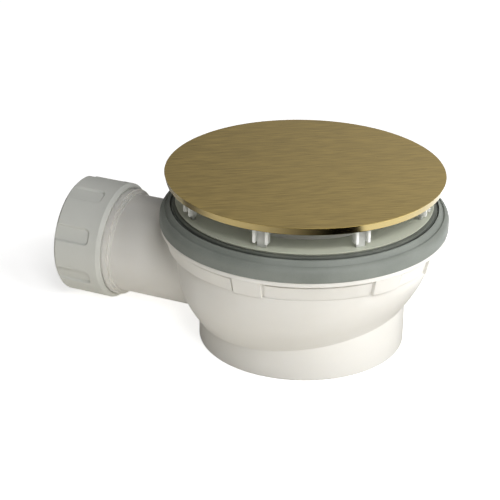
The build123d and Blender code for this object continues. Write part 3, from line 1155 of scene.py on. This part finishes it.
@dataclass
class CompressionOutlet:
    """The compression nut with its sunk grips, and the seal and slip washer that it holds."""

    wall: float = 0.00195
    edge: float = 0.0012
    bevel: float = 0.0017
    edge_soft: float = 0.00025
    lip: float = 0.0024
    lip_radius: float = 0.0207
    grip_count: int = 8
    grip_width: float = 0.0068
    grip_length: float = 0.0166
    grip_depth: float = 0.001
    grip_corner: float = 0.002
    grip_side: float = 0.0008
    edge_clear: float = 0.00216
    fine_step: float = 0.0002
    coarse_step: float = 0.0012
    angle_digits: int = 7
    start: float = field(init=False)
    end: float = field(init=False)
    radius: float = field(init=False)
    axis_height: float = field(init=False)

    def __post_init__(self) -> None:
        """Take the nut's ends, radius and axis from the frame."""
        low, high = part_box(Node.NUT.value)
        self.start, self.end = -high.x, -low.x
        self.radius = (high.y - low.y) / 2
        self.axis_height = (high.z + low.z) / 2

    def build(self) -> None:
        """Make and dress the nut, and dress what it holds."""
        grey = MouldedPlastic(
            "plastic_nut", (0.69, 0.7, 0.66), (0.635, 0.645, 0.605), roughness=0.5, grain_depth=0.00002)
        place = Axis.OUTLET.placed(self.axis_height)
        nut = turned_mesh("outlet_nut", self.section, self.angles(), place)
        stand_for(nut, Node.NUT, grey.material())
        black = MouldedRubber("rubber_cone", (0.03, 0.03, 0.03), (0.055, 0.055, 0.055), roughness=0.45)
        dress(Node.CONE_SEAL, black.material())
        white = MouldedPlastic("plastic_slip", (0.8, 0.79, 0.76), (0.76, 0.75, 0.72), roughness=0.3)
        dress(Node.SLIP, white.material())

    def grip_share(self, angle: float, along: float) -> float:
        """Find how deep the surface lies at a place: 1 in a grip's floor, 0 outside, between on its side.

        Args:
            angle: Angle round the outlet's axis.
            along: Distance from the vertical axis.

        Returns:
            The share of the grip's depth.
        """
        pitch = math.tau / self.grip_count
        across = abs(math.remainder(angle - pitch / 2, pitch)) * self.radius
        inward = self.end - self.grip_length - along
        dx = across - (self.grip_width / 2 - self.grip_corner)
        dy = inward + self.grip_corner
        outside = math.hypot(max(dx, 0), max(dy, 0)) + min(max(dx, dy), 0) - self.grip_corner
        return eased(0.5 - outside / self.grip_side)

    def angles(self) -> list[float]:
        """Spread angles round the nut, close together at the grips' sides and corners.

        Returns:
            The angles, in order.
        """
        pitch = math.tau / self.grip_count
        fine_from = (self.grip_width / 2 - self.grip_corner) / self.radius
        fine_to = (self.grip_width / 2 + self.grip_side) / self.radius
        half = spread(0, fine_from, self.coarse_step / self.radius)
        half += spread(fine_from, fine_to, self.fine_step / self.radius)
        half += spread(fine_to, pitch / 2, self.coarse_step / self.radius)
        both = sorted({round(sign * angle, self.angle_digits) for angle in half for sign in (-1, 1)})
        centres = [pitch * (index + 0.5) for index in range(self.grip_count)]
        return [centre + angle for centre in centres for angle in both]

    def stations(self) -> list[float]:
        """Spread places along the nut's outside, close together at the grips' inner ends.

        Returns:
            The places, as distances from the vertical axis.
        """
        fine_from = self.end - self.grip_length - self.grip_side
        fine_to = self.end - self.grip_length + self.grip_corner
        first, last = self.start + self.edge_clear, self.end - self.edge_clear
        places = spread(first, fine_from, self.coarse_step) + spread(fine_from, fine_to, self.fine_step)
        return places + spread(fine_to, last, self.coarse_step)

    def section(self, angle: float) -> list[Point]:
        """Draw the nut at an angle, with its grips.

        Args:
            angle: Angle round the outlet's axis.

        Returns:
            The outline's points, in order.
        """
        bore = self.radius - self.wall
        lip_face = self.end - self.lip
        points = outline([
            Corner(bore, self.start), Corner(self.radius - self.edge, self.start, self.edge_soft),
            Corner(self.radius, self.start + self.bevel, self.edge_soft),
            *[Corner(self.radius, place) for place in self.stations()],
            Corner(self.radius, self.end - self.edge, self.edge_soft),
            Corner(self.radius - self.edge, self.end, self.edge_soft),
            Corner(self.lip_radius, self.end, self.edge_soft), Corner(self.lip_radius, lip_face),
            Corner(bore, lip_face)])
        deepest = self.radius - self.grip_depth
        return [
            (min(r, self.radius - self.grip_depth * self.grip_share(angle, u)) if r > deepest else r, u)
            for r, u in points
        ]


def spread(start: float, end: float, step: float) -> list[float]:
    """Values from a start up to an end, the end left out, in even steps no longer than one given."""
    count = max(1, math.ceil((end - start) / step))
    return [start + (end - start) * index / count for index in range(count)]


# Studio


@dataclass
class Card:
    """A soft light: a rectangle that faces a point."""

    name: str
    place: Space
    size: Point
    power: float
    colour: Colour = (1.0, 1.0, 1.0)
    aim: Space = (0.0, 0.0, 0.03)

    def build(self) -> None:
        """Add the light to the scene."""
        light = bpy.data.lights.new(self.name, "AREA")
        light.shape = "RECTANGLE"
        light.size, light.size_y = self.size
        light.energy = self.power
        light.color = self.colour
        lamp = bpy.data.objects.new(self.name, light)
        lamp.location = self.place
        lamp.rotation_euler = (Vector(self.aim) - Vector(self.place)).to_track_quat("-Z", "Y").to_euler()
        bpy.context.scene.collection.objects.link(lamp)


@dataclass
class Studio:
    """White ground, soft lights and the photograph's camera.

    Each reach is where a change starts and ends: metres on the floor, shares of a direction in the sky.
    On the floor the dark stripe lies between dark_from and dark_to, and the shade left of shade_side and
    behind shade_depth.
    """

    floor_size: float = 6.0
    floor_colour: Colour = (0.945, 0.915, 0.855)
    # Painted shadow: the floor's darker colour close round the object, and the reach over which it fades out
    floor_painted_shadow: Colour = (0.6, 0.58, 0.543)
    painted_shadow_reach: Point = (0.05, 0.07)
    floor_mirrored: Colour = (1.08, 1.08, 1.08)
    floor_mirrored_right: Colour = (1.7, 1.75, 1.8)
    floor_seen: Colour = (3.0, 3.0, 3.0)
    floor_shadow: float = 0.3
    table_glow: float = 0.335
    dark_from: Point = (-0.11, 0.04)
    dark_to: Point = (0.072, 0.08)
    shade_side: Point = (-0.1, 0.1)
    shade_depth: Point = (-0.05, 0.02)
    shade_level: float = 0.75
    horizon: float = 0.25
    zenith: float = 0.95
    rise_reach: Point = (0.1, 0.8)
    left_level: float = 0.12
    right_gain: float = 2.3
    side_reach: Point = (-0.25, 0.35)
    left_glow: float = 0.35
    left_reach: Point = (-0.75, -0.4)
    front_glow: float = 0.15
    front_reach: Point = (-0.6, 0.0)
    room: float = 0.25
    room_reach: Point = (-0.2, 0.4)
    behind: Space = (-0.407, 0.914, 0.0)
    beside: Space = (0.914, 0.407, 0.0)
    camera_place: Space = (0.27717, -0.67218, 0.37822)
    camera_aim: Space = (-0.02025, -0.00908, 0.03839)
    camera_roll: float = math.radians(0.804)
    lens: float = 136.8
    shift: Point = (-0.001, 0.001)
    lights: tuple[Card, ...] = (
        Card("key_right", (0.9025, -0.4209, 0.8656), (0.4, 0.4), 5.0),
        Card("side_right", (1.180, 0.316, 0.475), (0.5, 0.5), 7.8),
        Card("back_left", (-0.816, 0.571, 0.866), (0.5, 0.5), 1.3, (1.0, 0.94, 0.86)),
        Card("front_high", (0.5569, -0.8256, 0.8656), (0.4, 0.4), 6.5),
    )

    def build(self) -> None:
        """Set up the view, the ground, the sky, the lights and the camera."""
        bpy.context.scene.view_settings.view_transform = "Standard"
        self.ground()
        self.world()
        for card in self.lights:
            card.build()
        self.camera()

    def ground(self) -> None:
        """Lay a wide floor: white to the eye, where it keeps the shadow, and a lit table with painted shadow
        near the object.

        Mirrored rays see it brighter, with a dark stripe in front of the object and a shade on its left.
        """
        mesh = bmesh.new()
        bmesh.ops.create_grid(mesh, x_segments=1, y_segments=1, size=self.floor_size / 2)
        floor = linked("studio_floor", mesh)
        shader = Shader("studio_ground")
        eye, mirrored = shader.ray_kinds()
        along, depth = (shader.dot(shader.coords, way) for way in (self.beside, self.behind))
        dark = along.ramp(*self.dark_from) * (1 - along.ramp(*self.dark_to))
        shade = depth.ramp(*self.shade_depth) * (1 - along.ramp(*self.shade_side))
        bright = shader.mix(along.ramp(*self.dark_to), self.floor_mirrored, self.floor_mirrored_right)
        mirror = shader.mix((1 - dark) * (1 - shade * self.shade_level), (0.0, 0.0, 0.0), bright)
        # Painted shadow: as a table the floor is darker close round the object, so it lights it less from
        # below
        tone = shader.mix(shader.from_axis().ramp(*self.painted_shadow_reach), self.floor_painted_shadow, self.floor_colour)
        lit = shader.mix(mirrored, tone, mirror)
        matt = shader.node("ShaderNodeBsdfDiffuse", None, {"Color": shader.mix(eye, lit, self.floor_seen)})
        white = shader.node("ShaderNodeEmission", None, {"Color": (1, 1, 1, 1), "Strength": 1.0})
        share = eye * (1 - self.floor_shadow)
        seen = shader.node("ShaderNodeMixShader", None, {0: share, 1: matt.out(), 2: white.out()})
        level = (1 - eye) * self.table_glow
        table = shader.node("ShaderNodeEmission", None, {"Color": lit, "Strength": level})
        ground = shader.node("ShaderNodeAddShader", None, {0: seen.out(), 1: table.out()})
        shader.node("ShaderNodeOutputMaterial", None, {"Surface": ground.out()})
        floor.data.materials.append(shader.material)

    def world(self) -> None:
        """Set the sky: white to the eye, and in reflections a room with pale walls.

        The room is brightest behind the object and on the right, and lights dull surfaces not at all.
        """
        world = bpy.data.worlds.new("studio_sky")
        bpy.context.scene.world = world
        world.use_nodes = True
        tree = Tree(world.node_tree)
        eye, mirrored = tree.ray_kinds()
        ahead = tree.node("ShaderNodeTexCoord").out("Generated")
        rise = tree.node("ShaderNodeSeparateXYZ", None, {0: ahead}).out("Z")
        facing, aside = (tree.dot(ahead, way) for way in (self.behind, self.beside))
        back = self.room + (1 - self.room) * facing.ramp(*self.room_reach)
        height = self.horizon + (self.zenith - self.horizon) * rise.ramp(*self.rise_reach)
        side = self.left_level + self.right_gain * aside.ramp(*self.side_reach)
        left = (1 - aside.ramp(*self.left_reach)) * self.left_glow
        front = (1 - facing.ramp(*self.front_reach)) * self.front_glow
        level = (back * height * side + left + front) * mirrored
        walls = tree.node("ShaderNodeBackground", None, {"Color": (1, 1, 1, 1), "Strength": level})
        white = tree.node("ShaderNodeBackground", None, {"Color": (1, 1, 1, 1), "Strength": 1.0})
        seen = tree.node("ShaderNodeMixShader", None, {0: eye, 1: walls.out(), 2: white.out()})
        tree.node("ShaderNodeOutputWorld", None, {"Surface": seen.out()})

    def camera(self) -> None:
        """Set up the photograph's camera, aimed and rolled as it was."""
        data = bpy.data.cameras.new("photo_camera")
        data.lens = self.lens
        data.shift_x, data.shift_y = self.shift
        camera = bpy.data.objects.new("photo_camera", data)
        bpy.context.scene.collection.objects.link(camera)
        ahead = (Vector(self.camera_aim) - Vector(self.camera_place)).normalized()
        level = ahead.cross(Vector((0, 0, 1))).normalized()
        upright = level.cross(ahead)
        right = level * math.cos(self.camera_roll) + upright * math.sin(self.camera_roll)
        turn = Matrix((right, right.cross(ahead), -ahead)).transposed()
        camera.matrix_world = Matrix.Translation(self.camera_place) @ turn.to_4x4()
        bpy.context.scene.camera = camera


def main() -> None:
    """Build the sub-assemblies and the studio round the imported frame."""
    logging.basicConfig(level=logging.INFO, format="%(name)s: %(message)s")
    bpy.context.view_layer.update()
    for part in (CoverAssembly(), ClampAssembly(), TraySeal(), TrapBody(), CompressionOutlet()):
        part.build()
        LOG.info("%s is built", type(part).__name__)
    Studio().build()


if __name__ == "__main__":
    main()
